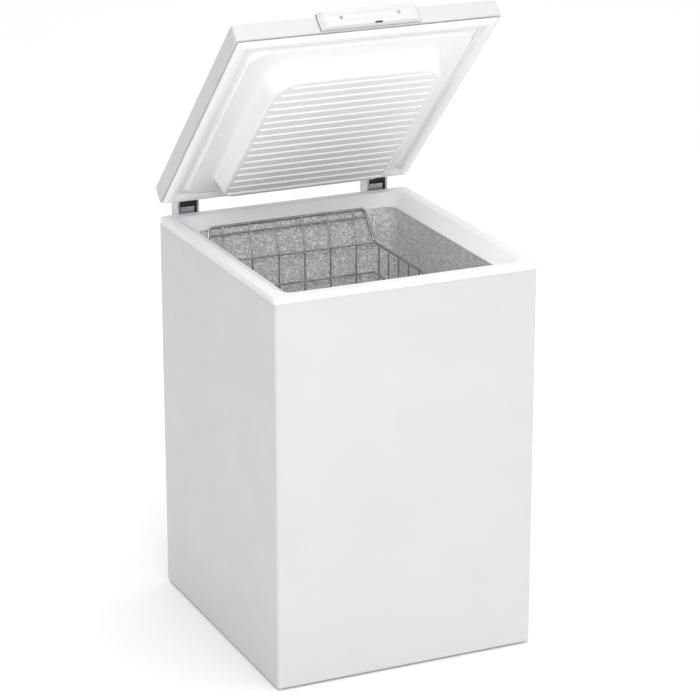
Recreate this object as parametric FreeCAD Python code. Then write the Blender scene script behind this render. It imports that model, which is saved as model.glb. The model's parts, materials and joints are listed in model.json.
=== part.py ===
import FreeCAD, Part
import math
import os

# Small chest freezer with a counterbalanced lid.  Millimetres, +X right, +Y back, +Z up.
# The origin is on the floor, under the middle of the whole footprint.  The front faces -Y.
# The lid pieces are drawn closed and then turned to LID_OPEN, where the lid rests.

os.makedirs("parts", exist_ok=True)
V = FreeCAD.Vector

# ---- driving dimensions of the cabinet ----
CAB_W = 560.0            # outer wrap, side to side
CAB_D = 606.0            # outer wrap, front to back
CAB_H = 798.0            # outer wrap, bottom edge to seam under the collar
FOOT_H = 5.0             # gap between wrap and floor
SHEET = 0.8              # pre-painted steel sheet
FRONT = -322.0           # y of the wrap's front face
BACK = FRONT + CAB_D     # y of the back panel's outer face
HALF = CAB_W / 2.0
WRAP_TOP = FOOT_H + CAB_H

# ---- collar around the opening ----
COLLAR_H = 14.0          # height of its visible side
OVERHANG = 2.0           # how far it stands out past the wrap
DROP = 20.5              # fall from the ledge down to the liner
LEDGE = 23.0             # flat outer part of the collar, before it slopes down
WALL = 59.0              # collar's width at the front and sides
WALL_BACK = 61.0         # collar's width at the back
COLLAR_SKIN = 2.5
TONGUE = 7.0             # how far the collar reaches down inside the wrap
RIM_TOP = WRAP_TOP + COLLAR_H
OPEN_Z = RIM_TOP - DROP  # height of the liner's top edge
CX = HALF + OVERHANG     # collar's outer half width
CF = FRONT - OVERHANG    # collar's front
CB = BACK + OVERHANG     # collar's back
OPEN_X = CX - WALL       # half width of the storage opening
OPEN_F = CF + WALL       # front edge of the storage opening
OPEN_B = CB - WALL_BACK  # back edge of the storage opening

# ---- liner, foam and compressor compartment ----
LINER_T = 1.0
LINER_R = 20.0
FLOOR_Z = 62.0           # storage floor
BAY_D = 200.0            # depth of the compressor compartment
BAY_TOP = 250.0          # its ceiling
BAY_F = BACK - BAY_D     # y of its front wall
STEP_Z = BAY_TOP + 55.0  # top of the step inside the liner
STEP_Y = BAY_F - 55.0    # front of that step
FOAM_TOP = OPEN_Z - 3.5
TRAY_Z = FOOT_H + SHEET  # underside of the base tray
TRAY_T = 1.2
TRAY_UP = 18.0           # height of the tray's upstand

# ---- lid ----
LID_GAP = 10.0           # rim to the lid's lower edge
LID_T = 36.0             # height of the lid's skin
LID_Z = RIM_TOP + LID_GAP
LID_TOP = LID_Z + LID_T
LID_R = 6.0              # corner radius seen from above
LX = CX                  # half width of the lid
LF = CF                  # lid's front
LB = BACK                # lid's back
STEP1_IN = 40.0          # first raised step of the lid's liner, in from the lid's edge
STEP1_H = 9.0
STEP2_H = 50.0           # second raised step, below the lid's edge
STEP2_SIDE = 90.0
STEP2_FRONT = 84.0
STEP2_BACK = 78.0
LINER_SKIN = 2.0         # thickness of the moulded inner liner
TOP_R = 56.0             # radius of the second step's front corners
RIB_COUNT = 17
RIB_H = 3.0
GASKET_GAP = 0.3         # gasket to ledge with the lid shut
LID_OPEN = 45.0          # degrees open at rest

# ---- hinges ----
HINGE_X = 216.0          # each hinge's centre, left and right
PIN_BACK = 22.0          # pin behind the back panel
PIN_UP = 23.0            # pin above the rim
PIN_R = 3.0
RUN = 0.05               # radial running clearance
CH_W = 47.0              # channel's outer width
CH_T = 1.5
CH_TOP_UP = 12.0         # channel's top above the pin
CH_REAR = 39.0           # channel's rear face behind the back panel
CH_LOW = 690.0
CAM_R = 12.0
CAM_E = 7.0              # cam's eccentricity
CAM_PHASE = 40.0         # lid angle at which the cam is level with the pin
CAM_GAP = 0.4
PIN_Y = BACK + PIN_BACK
PIN_Z = RIM_TOP + PIN_UP
SEAT_Z = 735.0           # top of the spring's seat
PLUNGER_LOW = 798.0      # underside of the plunger's head
PLUNGER_TOP = PIN_Z + CAM_E * math.sin(math.radians(LID_OPEN - CAM_PHASE)) - CAM_R - CAM_GAP

# ---- wire basket ----
RAIL_R = 3.0
WIRE_R = 1.5
BK_X0, BK_X1 = -210.0, 168.0
BK_IN = 12.0             # the end loops are this much narrower at each side
BK_FLARE = 24.0          # and lean this far out
BK_TOP_Z = OPEN_Z + 1.9
BK_Y0 = OPEN_F + 2.7 + BK_FLARE
BK_Y1 = OPEN_B - 2.7 - BK_FLARE
BK_RAIL_Z = 730.0
BK_FLOOR_Z = 600.0
SECOND_DOWN = 15.0       # second cross wire below each end loop

# ---- controls, low on the right side ----
PANEL_Y, PANEL_Z = 175.0, 150.0
PANEL_W, PANEL_H = 126.0, 72.0
DISH_D = 14.0            # how deep the panel is let in
KNOB_Y = PANEL_Y + 28.0
BUTTON_Y = PANEL_Y - 12.0
LAMP_Y = PANEL_Y - 42.0
SENSOR_X, SENSOR_Y = 250.0, 196.0

# ---- refrigerant circuit ----
COIL_OUT = LINER_T + 5.0  # evaporator tube's centre, out from the liner
COIL_LOW, COIL_PITCH, COIL_TURNS = 360.0, 68.0, 6
COIL_IN_X, COIL_OUT_X = -120.0, -60.0
COIL_TOP = COIL_LOW + (COIL_TURNS - 0.5) * COIL_PITCH
COND_X = HALF - SHEET - 4.5
COND_B = BACK - 70.0
COND_LOW, COND_PITCH, COND_PASSES = 330.0, 55.0, 7
COND_END = COND_LOW + (COND_PASSES - 1) * COND_PITCH
DRIER_X, DRIER_Y = -150.0, 150.0

DRAIN_X, DRAIN_Y, DRAIN_Z = 150.0, -200.0, 36.0
COMP_X, COMP_Y = 40.0, 182.0


# ---------------------------------------------------------------- helpers
def box(x0, x1, y0, y1, z0, z1):
    return Part.makeBox(x1 - x0, y1 - y0, z1 - z0, V(x0, y0, z0))


def cyl(r, x, y, z, length, axis=V(0, 0, 1)):
    return Part.makeCylinder(r, length, V(x, y, z), axis)


def round_wire(x0, x1, y0, y1, z, r, rb=None):
    """Closed rectangle with round corners, lying flat at height z. rb is for the back corners."""
    b = r if rb is None else rb
    k, kb = r * (1 - math.sqrt(0.5)), b * (1 - math.sqrt(0.5))
    p = [V(x0 + r, y0, z), V(x1 - r, y0, z), V(x1, y0 + r, z), V(x1, y1 - b, z),
         V(x1 - b, y1, z), V(x0 + b, y1, z), V(x0, y1 - b, z), V(x0, y0 + r, z)]
    m = [V(x1 - k, y0 + k, z), V(x1 - kb, y1 - kb, z), V(x0 + kb, y1 - kb, z), V(x0 + k, y0 + k, z)]
    edges = []
    for i in range(4):
        a, b, c = p[2 * i], p[2 * i + 1], p[(2 * i + 2) % 8]
        edges.append(Part.LineSegment(a, b).toShape())
        edges.append(Part.Arc(b, m[i], c).toShape())
    return Part.Wire(edges)


def prism(x0, x1, y0, y1, z0, z1, r):
    return Part.Face(round_wire(x0, x1, y0, y1, z0, r)).extrude(V(0, 0, z1 - z0))


def loft(lower, upper):
    return Part.makeLoft([lower, upper], True, True)


def polygon(points):
    return Part.Face(Part.makePolygon(points + [points[0]]))


def tube(points, r, bend, closed=False):
    """Round bar along straight runs joined by tangent arcs."""
    pts = [V(*p) for p in points]
    n = len(pts)
    corners = range(n) if closed else range(1, n - 1)
    cut = {}
    for i in corners:
        a, b, c = pts[i - 1], pts[i], pts[(i + 1) % n]
        u, w = (a - b).normalize(), (c - b).normalize()
        half = u.getAngle(w) / 2.0
        reach = bend / math.tan(half)
        middle = (u + w).normalize()
        cut[i] = (b + u * reach, b + middle * (bend / math.sin(half) - bend), b + w * reach)
    edges = []
    for i in range(n if closed else n - 1):
        j = (i + 1) % n
        start = cut[i][2] if i in cut else pts[i]
        end = cut[j][0] if j in cut else pts[j]
        edges.append(Part.LineSegment(start, end).toShape())
        if j in cut:
            edges.append(Part.Arc(*cut[j]).toShape())
    path = Part.Wire(edges)
    first = edges[0]
    start = first.valueAt(first.FirstParameter)
    way = first.tangentAt(first.FirstParameter)
    ring = Part.Wire(Part.makeCircle(r, start, way))
    return path.makePipeShell([ring], True, False)


def fuse(shapes):
    return shapes[0].multiFuse(shapes[1:]).removeSplitter()


def save(name, shape):
    shape.exportStep("parts/" + name + ".step")


def lid_turned(shape):
    """Turn a piece drawn on the shut lid to where the lid rests."""
    turned = shape.copy()
    turned.rotate(V(0, PIN_Y, PIN_Z), V(-1, 0, 0), LID_OPEN)
    return turned


def save_lid(name, shape):
    save(name, lid_turned(shape))


# ---------------------------------------------------------------- cabinet shell
def outer_wrap():
    """Front and both sides, bent from one sheet, with an inward flange along the bottom."""
    r = 6.0
    outer = prism(-HALF, HALF, FRONT, BACK + 20, FOOT_H, WRAP_TOP, r)
    inner = prism(-HALF + SHEET, HALF - SHEET, FRONT + SHEET, BACK + 30,
                  FOOT_H + SHEET, WRAP_TOP + 1, r - SHEET)
    under = box(-HALF + 14, HALF - 14, FRONT + 14, BACK + 30, FOOT_H - 1, FOOT_H + 2)
    wrap = outer.cut(inner).cut(under).cut(box(-400, 400, BACK - SHEET - 0.1, BACK + 40, 0, 900))
    panel = box(HALF - 3, HALF + 3, PANEL_Y - PANEL_W / 2 + 5, PANEL_Y + PANEL_W / 2 - 5,
                PANEL_Z - PANEL_H / 2 + 5, PANEL_Z + PANEL_H / 2 - 5)
    vent = box(HALF - 3, HALF + 3, 115, 235, 45, 85)
    drain = cyl(11.2, HALF - 5, DRAIN_Y, DRAIN_Z, 10, V(1, 0, 0))
    save("outer_wrap", wrap.cut(panel).cut(vent).cut(drain))


def back_panel():
    panel = box(-HALF, HALF, BACK - SHEET, BACK, BAY_TOP - 14, WRAP_TOP)
    for x, z in hinge_screw_places() + cover_screws():
        panel = panel.cut(cyl(2.2, x, BACK - 5, z, 10, V(0, 1, 0)))
    save("back_panel", panel)


def base_tray():
    x1, y0, y1 = HALF - SHEET - 0.1, FRONT + SHEET + 0.1, BACK
    tray = prism(-x1, x1, y0, y1, TRAY_Z, TRAY_Z + TRAY_UP, 5)
    hollow = prism(-x1 + TRAY_T, x1 - TRAY_T, y0 + TRAY_T, y1 - TRAY_T,
                   TRAY_Z + TRAY_T, TRAY_Z + TRAY_UP + 1, 4)
    tray = tray.cut(hollow)
    for x, y in foot_places():
        tray = tray.cut(cyl(5.1, x, y, TRAY_Z - 1, 5))
    for i in range(6):
        tray = tray.cut(box(-200 + i * 28, -188 + i * 28, 130, 230, TRAY_Z - 1, TRAY_Z + 5))
    for x, z in cover_screws():
        tray = tray.cut(cyl(2.2, x, BACK - 5, z, 10, V(0, 1, 0)))
    save("base_tray", tray)


def foot_places():
    inset = 45.0
    return [(sx * (HALF - inset), y) for sx in (-1, 1) for y in (FRONT + inset, BACK - inset)]


def feet():
    """Four moulded glides, each with a stem pressed up through the base tray."""
    solids = []
    for x, y in foot_places():
        pad = cyl(16, x, y, 0, TRAY_Z)
        pad = pad.makeChamfer(1.0, [e for e in pad.Edges if abs(e.BoundBox.ZMax) < 0.01])
        solids.append(pad.fuse(cyl(5, x, y, TRAY_Z, 9)))
    save("feet", Part.makeCompound(solids))


def collar_slope(down):
    """Space above the collar's slope, from the ledge's inner edge to the liner, lowered by down."""
    z, over = RIM_TOP + 1.0, 1.0 / DROP
    side, back = LEDGE - (WALL - LEDGE) * over, LEDGE - (WALL_BACK - LEDGE) * over
    low = round_wire(-OPEN_X, OPEN_X, OPEN_F, OPEN_B, OPEN_Z - down, LINER_R)
    return loft(low, round_wire(-CX + side, CX - side, CF + side, CB - back, z - down, 30))


def collar_frame():
    """Moulded collar: flat ledge, a slope down to the liner, and a tongue inside the wrap."""
    low, s = OPEN_Z - 3, COLLAR_SKIN
    block = prism(-CX, CX, CF, CB, WRAP_TOP + 0.6, RIM_TOP, 12)
    block = block.makeFillet(2.0, [e for e in block.Edges if e.BoundBox.ZMin > RIM_TOP - 0.01])
    core = prism(-HALF + 3, HALF - 3, FRONT + 3, BACK - 3, low, RIM_TOP - 6, 5)
    throat = prism(-OPEN_X, OPEN_X, OPEN_F, OPEN_B, low - 5, OPEN_Z + 0.5, LINER_R)
    block = block.fuse(core).cut(throat).cut(collar_slope(0))
    lip = prism(-OPEN_X - s, OPEN_X + s, OPEN_F - s, OPEN_B + s, low - 1, OPEN_Z - 1, LINER_R + s)
    keep = lip.fuse(collar_slope(s + 0.4))
    under = prism(-HALF + 5.5, HALF - 5.5, FRONT + 5.5, BACK - 5.5, low - 5, RIM_TOP - s, 4)
    below = box(-HALF, HALF, FRONT, BACK, low - 5, WRAP_TOP - TONGUE)
    shell = block.cut(under.cut(keep)).cut(below.cut(keep))
    save("collar_frame", shell.removeSplitter())


# ---------------------------------------------------------------- liner and insulation
def liner_block(grow, top):
    """The storage space as a solid, grown by a wall thickness, with its step at the back."""
    r = LINER_R + grow
    x = OPEN_X + grow
    upper = prism(-x, x, OPEN_F - grow, OPEN_B + grow, STEP_Z - grow, top, r)
    lower = prism(-x, x, OPEN_F - grow, STEP_Y + grow, FLOOR_Z - grow, STEP_Z + 60, r)
    return upper.fuse(lower).removeSplitter()


def inner_liner():
    top = OPEN_Z - 3.2
    flange = prism(-OPEN_X - 8, OPEN_X + 8, OPEN_F - 8, OPEN_B + 8, top - LINER_T, top, LINER_R + 8)
    liner = liner_block(LINER_T, top).fuse(flange).cut(liner_block(0, top + 1))
    liner = liner.cut(cyl(9.2, DRAIN_X, DRAIN_Y, FLOOR_Z - 5, 20))
    save("inner_liner", liner)


def foam_body():
    """Foam between wrap and liner, with pockets for the stems, screws, drain and compartment."""
    g = SHEET + 0.1
    foam = prism(-HALF + g, HALF - g, FRONT + g, BACK - g, TRAY_Z + TRAY_T + 0.1, FOAM_TOP - 1.4, 5)
    foam = foam.cut(liner_block(LINER_T + 0.05, FOAM_TOP + 10))
    foam = foam.cut(box(-HALF, HALF, BAY_F - 1.0, BACK + 5, 0, BAY_TOP + 1.0))
    t = g + TRAY_T + 0.3
    rim = box(-HALF, HALF, FRONT, BACK, 0, TRAY_Z + TRAY_UP + 0.1)
    foam = foam.cut(rim.cut(prism(-HALF + t, HALF - t, FRONT + t, BACK + 20, -1, TRAY_Z + 30, 4)))
    for x, y in foot_places():
        foam = foam.cut(cyl(6, x, y, 0, 17))
    for x, z in hinge_screw_places() + cover_screws():
        foam = foam.cut(cyl(2.6, x, BACK - 12, z, 14, V(0, 1, 0)))
    foam = foam.cut(cyl(11.5, DRAIN_X, DRAIN_Y, FLOOR_Z - 6, 8))
    save("foam_body", foam.cut(tube(drain_route(), 11.5, 14.0)))


def evaporator_coil():
    """One tube wound round the outside of the liner, climbing a step behind it at each turn."""
    x, f, b = OPEN_X + COIL_OUT, OPEN_F - COIL_OUT, OPEN_B + COIL_OUT
    pts = [(COIL_IN_X, b, COIL_LOW - 30)]
    for i in range(COIL_TURNS):
        z = COIL_LOW + i * COIL_PITCH
        up = z + COIL_PITCH / 2
        pts += [(COIL_IN_X, b, z), (-x, b, z), (-x, f, z), (x, f, z), (x, b, z),
                (COIL_OUT_X, b, z), (COIL_OUT_X, b, up)]
        if i < COIL_TURNS - 1:
            pts.append((COIL_IN_X, b, up))
    save("evaporator_coil", tube(pts, 4.0, 12.0))


def condenser_coil():
    """One tube bonded inside the wrap, running to and fro round the sides and the front."""
    x, f, b = COND_X, FRONT + HALF - COND_X, COND_B
    pts = [(x, b, COND_LOW - 30)]
    for i in range(COND_PASSES):
        z = COND_LOW + i * COND_PITCH
        run = [(x, b, z), (x, f, z), (-x, f, z), (-x, b, z)]
        pts += run if i % 2 == 0 else run[::-1]
    save("condenser_coil", tube(pts, 2.5, 12.0))


def bay_housing():
    """Bent plate that keeps the foam out of the compressor compartment."""
    x = HALF - SHEET - 0.1
    roof = box(-x, x, BAY_F, BACK - SHEET - 0.1, BAY_TOP, BAY_TOP + SHEET)
    wall = box(-x, x, BAY_F - SHEET, BAY_F, TRAY_Z + TRAY_UP + 1, BAY_TOP + SHEET)
    housing = fuse([roof, wall])
    for px, py, r in ((COND_X, COND_B, 3.0), (-COND_X, COND_B + 22, 3.0), (COIL_OUT_X, 264, 4.0),
                      (COIL_IN_X, 240, 2.2), (SENSOR_X, SENSOR_Y, 1.8)):
        housing = housing.cut(cyl(r, px, py, BAY_TOP - 2, 5))
    save("bay_housing", housing)


# ---------------------------------------------------------------- cooling machine
def comp_corners():
    return [(COMP_X + sx * 78.0, COMP_Y + sy * 52.0) for sx in (-1, 1) for sy in (-1, 1)]


def compressor_rail():
    z = 26.0
    plate = box(COMP_X - 95, COMP_X + 95, COMP_Y - 68, COMP_Y + 68, z, z + 2)
    legs = [box(COMP_X + s * 94 - 1, COMP_X + s * 94 + 1, COMP_Y - 68, COMP_Y + 68,
                TRAY_Z + TRAY_T + 0.1, z) for s in (-1, 1)]
    rail = fuse([plate] + legs)
    for x, y in comp_corners():
        rail = rail.cut(cyl(3.2, x, y, z - 2, 8))
    save("compressor_rail", rail)


def grommets():
    solids = [cyl(10, x, y, 28.1, 11.8).cut(cyl(4.2, x, y, 27, 15)) for x, y in comp_corners()]
    save("compressor_grommets", Part.makeCompound(solids))


def compressor_bolts():
    solids = []
    for x, y in comp_corners():
        head = Part.Face(Part.makePolygon([V(x + 5.8 * math.cos(math.radians(60 * k)),
                                             y + 5.8 * math.sin(math.radians(60 * k)), 42.7)
                                           for k in range(7)])).extrude(V(0, 0, 4))
        solids.append(cyl(3.0, x, y, 18, 24.7).fuse(head))
    save("compressor_bolts", Part.makeCompound(solids))


def pot(r, low, high, edge):
    """Closed drawn pot with round ends, standing on the compressor's axis."""
    body = cyl(r, COMP_X, COMP_Y, low, high - low)
    return body.makeFillet(edge, [e for e in body.Edges if e.BoundBox.ZLength < 0.1])


def compressor():
    """Welded pot on a foot plate, with a seam, a capped filling stub, and the pump inside."""
    feet_z = 40.0
    seam = cyl(80, COMP_X, COMP_Y, 128, 5)
    plate = box(COMP_X - 88, COMP_X + 88, COMP_Y - 62, COMP_Y + 62, feet_z, feet_z + 2.5)
    stand = cyl(40, COMP_X, COMP_Y, feet_z, 14)
    stub = tube([(COMP_X + 30, COMP_Y + 64, 110), (COMP_X + 30, COMP_Y + 86, 110),
                 (COMP_X + 30, COMP_Y + 86, 150)], 3.0, 7)
    shell = pot(76, 50, 214, 32).fuse(seam).fuse(plate).fuse(stand).fuse(stub)
    shell = shell.cut(pot(73, 53, 211, 29))
    for x, y in comp_corners():
        shell = shell.cut(cyl(3.4, x, y, feet_z - 2, 8))
    save("compressor_shell", shell)
    pump = cyl(52, COMP_X, COMP_Y, 78, 62)
    pump = pump.fuse(box(COMP_X - 40, COMP_X + 44, COMP_Y - 34, COMP_Y + 34, 140, 178))
    save("compressor_pump_unit", pump.removeSplitter())
    relay = box(COMP_X - 118, COMP_X - 70, COMP_Y - 24, COMP_Y + 24, 92, 148)
    relay = relay.makeFillet(4, [e for e in relay.Edges if e.BoundBox.ZLength > 50])
    relay = relay.cut(cyl(80.3, COMP_X, COMP_Y, 80, 90))
    save("start_relay_box", relay)


def pipework():
    """Lines between the compressor, the coils and the drier."""
    cx, cy, b = COMP_X, COMP_Y, OPEN_B + COIL_OUT
    save("suction_line", tube([(cx - 30, cy + 68, 150), (cx - 30, 264, 150), (cx - 30, 264, 228),
                               (COIL_OUT_X, 264, 228), (COIL_OUT_X, 264, COIL_TOP + 26),
                               (COIL_OUT_X, b, COIL_TOP + 26), (COIL_OUT_X, b, COIL_TOP)], 3.5, 6.0))
    save("discharge_line", tube([(cx + 69, COND_B, 170), (cx + 110, COND_B, 170), (cx + 110, COND_B, 215),
                                 (COND_X, COND_B, 215), (COND_X, COND_B, COND_LOW - 30)], 2.5, 9))
    save("liquid_line", tube([(-COND_X, COND_B, COND_END), (-COND_X, COND_B + 22, COND_END),
                              (-COND_X, COND_B + 22, 50), (DRIER_X, COND_B + 22, 50),
                              (DRIER_X, DRIER_Y, 50), (DRIER_X, DRIER_Y, 74)], 2.5, 9))
    drier = cyl(9, DRIER_X, DRIER_Y, 90, 90)
    ends = [Part.makeCone(9, 3, 16, V(DRIER_X, DRIER_Y, 180)), Part.makeCone(3, 9, 16, V(DRIER_X, DRIER_Y, 74))]
    save("filter_drier", fuse([drier] + ends))
    save("capillary_tube", tube([(DRIER_X, DRIER_Y, 196), (DRIER_X, DRIER_Y, 232), (DRIER_X, 240, 232),
                                 (COIL_IN_X, 240, 232), (COIL_IN_X, 240, 300), (COIL_IN_X, b, 300),
                                 (COIL_IN_X, b, COIL_LOW - 30)], 1.6, 8))
    save("thermostat_sensor", tube([(SENSOR_X, SENSOR_Y, PANEL_Z + 20), (SENSOR_X, SENSOR_Y, 320),
                                    (SENSOR_X, 60, 320)], 1.2, 12))
    save("wiring_loom", tube([(cx - 118, cy, 110), (cx - 140, cy, 110), (cx - 140, cy, 60), (cx - 140, 262, 60),
                              (200, 262, 60), (200, 262, 150), (200, KNOB_Y, 150),
                              (HALF - DISH_D - 44, KNOB_Y, 150)], 2.5, 9))


# ---------------------------------------------------------------- controls
def control_panel():
    x0 = HALF - DISH_D
    flange = box(HALF + 0.1, HALF + 1.6, PANEL_Y - PANEL_W / 2, PANEL_Y + PANEL_W / 2,
                 PANEL_Z - PANEL_H / 2, PANEL_Z + PANEL_H / 2)
    cup = box(x0 - 2, HALF + 0.5, PANEL_Y - PANEL_W / 2 + 5.5, PANEL_Y + PANEL_W / 2 - 5.5,
              PANEL_Z - PANEL_H / 2 + 5.5, PANEL_Z + PANEL_H / 2 - 5.5)
    hollow = box(x0, HALF + 5, PANEL_Y - PANEL_W / 2 + 7.5, PANEL_Y + PANEL_W / 2 - 7.5,
                 PANEL_Z - PANEL_H / 2 + 7.5, PANEL_Z + PANEL_H / 2 - 7.5)
    panel = fuse([flange, cup]).cut(hollow)
    panel = panel.cut(cyl(3.05, x0 - 5, KNOB_Y, PANEL_Z, 10, V(1, 0, 0)))
    panel = panel.cut(cyl(6.1, x0 - 5, BUTTON_Y, PANEL_Z, 10, V(1, 0, 0)))
    for y, z in lamp_places():
        panel = panel.cut(cyl(3.0, x0 - 5, y, z, 10, V(1, 0, 0)))
    save("control_panel", panel)


def lamp_places():
    return [(LAMP_Y, PANEL_Z + dz) for dz in (16, 0, -16)]


def controls():
    x0 = HALF - DISH_D
    side = V(1, 0, 0)
    knob = cyl(17, x0 + 0.4, KNOB_Y, PANEL_Z, 11.5, side)
    knob = knob.makeFillet(1.5, [e for e in knob.Edges if e.BoundBox.XMin > x0 + 11])
    notch = box(x0 + 6, x0 + 20, KNOB_Y - 20, KNOB_Y - 4, PANEL_Z - 20, PANEL_Z + 20)
    notch2 = box(x0 + 6, x0 + 20, KNOB_Y + 4, KNOB_Y + 20, PANEL_Z - 20, PANEL_Z + 20)
    knob = knob.cut(notch).cut(notch2).fuse(cyl(3.0, x0 - 22, KNOB_Y, PANEL_Z, 23, side))
    save("thermostat_knob", knob.removeSplitter())
    body = box(x0 - 44, x0 - 2.4, KNOB_Y - 17, KNOB_Y + 17, PANEL_Z - 20, PANEL_Z + 20)
    save("thermostat_body", body.cut(cyl(3.2, x0 - 24, KNOB_Y, PANEL_Z, 30, side)))
    button = cyl(6.0, x0 - 6, BUTTON_Y, PANEL_Z, 11, side)
    button = button.makeFillet(1.0, [e for e in button.Edges if e.BoundBox.XMin > x0 + 4])
    save("fast_freeze_button", button.fuse(cyl(2.5, x0 - 12, BUTTON_Y, PANEL_Z, 7, side)))
    switch = box(x0 - 36, x0 - 9.2, BUTTON_Y - 8, BUTTON_Y + 8, PANEL_Z - 12, PANEL_Z + 12)
    save("fast_freeze_switch", switch.cut(cyl(2.6, x0 - 17, BUTTON_Y, PANEL_Z, 12, side)))
    for name, (y, z) in zip(("power_lamp", "freezing_lamp", "warning_lamp"), lamp_places()):
        lens = cyl(3.0, x0 - 4, y, z, 6, side).fuse(cyl(4.0, x0 + 0.1, y, z, 1.9, side))
        save(name, lens)


def side_grille():
    x1 = HALF + 1.6
    frame = box(HALF + 0.1, x1, 110, 240, 40, 90)
    body = box(HALF - 5, HALF + 0.5, 116, 234, 46, 84)
    grille = fuse([frame, body])
    for i in range(5):
        z = 50.0 + i * 6.6
        grille = grille.cut(box(HALF - 10, x1 + 1, 121, 229, z, z + 3.6))
    save("side_grille", grille)


def rear_cover():
    """Pressed cover over the compressor compartment, with rows of slots."""
    y0 = BACK + 0.1
    cover = prism(-HALF + 8, HALF - 8, 0, BAY_TOP - 12, 0, 1.0, 8)
    cover.rotate(V(0, 0, 0), V(1, 0, 0), 90)
    cover.translate(V(0, y0 + 1.0, FOOT_H + 6))
    for row in range(3):
        for i in range(13):
            x = -210 + i * 32.0
            z = 60 + row * 62.0
            cover = cover.cut(box(x, x + 8, y0 - 2, y0 + 4, z, z + 44))
    for x, z in cover_screws():
        cover = cover.cut(cyl(2.2, x, y0 - 3, z, 8, V(0, 1, 0)))
    cover = cover.cut(cyl(8.0, 235, y0 - 3, 40, 8, V(0, 1, 0)))
    save("rear_cover", cover)


def cover_screws():
    return [(x, z) for x in (-262, 0, 262) for z in (FOOT_H + 12, BAY_TOP - 8)]


def screw(x, y, z, way, shank, r=2.0, head_r=4.0, head_h=2.2):
    """Pan head screw whose head sits on the point (x, y, z) and whose shank goes the other way."""
    head = cyl(head_r, x, y, z, head_h, way)
    slot = V(x, y, z) + way * (head_h - 0.9)
    flat = Part.makeBox(head_r * 1.2, 1.0, 2.0)
    flat.translate(V(-head_r * 0.6, -0.5, 0))
    flat2 = flat.copy()
    flat2.rotate(V(0, 0, 0), V(0, 0, 1), 90)
    cross = flat.fuse(flat2)
    cross.rotate(V(0, 0, 0), V(0, 0, 1).cross(way) if abs(way.z) < 0.9 else V(1, 0, 0),
                 90 if abs(way.z) < 0.9 else (0 if way.z > 0 else 180))
    cross.translate(slot)
    back = way * -1
    return head.fuse(cyl(r, x, y, z, shank, back)).cut(cross)


def cover_screw_set():
    solids = [screw(x, BACK + 1.2, z, V(0, 1, 0), 6) for x, z in cover_screws()]
    save("rear_cover_screws", Part.makeCompound(solids))


def cord_gland():
    """Bushing in the rear cover that the mains cord would come through."""
    y0 = BACK + 0.1
    body = cyl(7.9, 235, y0 - 8, 40, 16, V(0, 1, 0)).fuse(cyl(12, 235, y0 + 1.1, 40, 3, V(0, 1, 0)))
    body = body.fuse(cyl(10, 235, y0 - 8, 40, 6, V(0, 1, 0)))
    save("cord_gland", body.cut(cyl(4.0, 235, y0 - 10, 40, 30, V(0, 1, 0))))


# ---------------------------------------------------------------- drain
def drain_route():
    return [(DRAIN_X, DRAIN_Y, FLOOR_Z - LINER_T - 0.1), (DRAIN_X, DRAIN_Y, DRAIN_Z),
            (HALF + 1, DRAIN_Y, DRAIN_Z)]


def drain():
    pts = drain_route()
    pipe = tube(pts, 11.0, 14.0).cut(tube(pts, 9.0, 14.0))
    save("drain_tube", pipe)
    plug = cyl(16, DRAIN_X, DRAIN_Y, FLOOR_Z + 0.3, 4).fuse(cyl(8.9, DRAIN_X, DRAIN_Y, FLOOR_Z - 8, 9))
    plug = plug.fuse(cyl(5, DRAIN_X, DRAIN_Y, FLOOR_Z + 4, 9)).fuse(cyl(8, DRAIN_X, DRAIN_Y, FLOOR_Z + 12, 3))
    save("drain_plug", plug.removeSplitter())
    cap = cyl(14, HALF + 1.3, DRAIN_Y, DRAIN_Z, 3, V(1, 0, 0))
    cap = cap.makeFillet(1.2, [e for e in cap.Edges if e.BoundBox.XMin > HALF + 4])
    save("drain_outlet_cap", cap.fuse(cyl(8.9, HALF - 12, DRAIN_Y, DRAIN_Z, 14, V(1, 0, 0))))


# ---------------------------------------------------------------- hinges
def hinge_screw_places():
    return [(s * HINGE_X + t * (CH_W / 2 + 7.5), z) for s in (-1, 1) for t in (-1, 1)
            for z in (CH_LOW + 15, WRAP_TOP - 22)]


def lid_screw_places():
    return [(s * HINGE_X + dx, LID_Z + dz) for s in (-1, 1) for dx in (-9, 9) for dz in (11, 26)]


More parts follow.
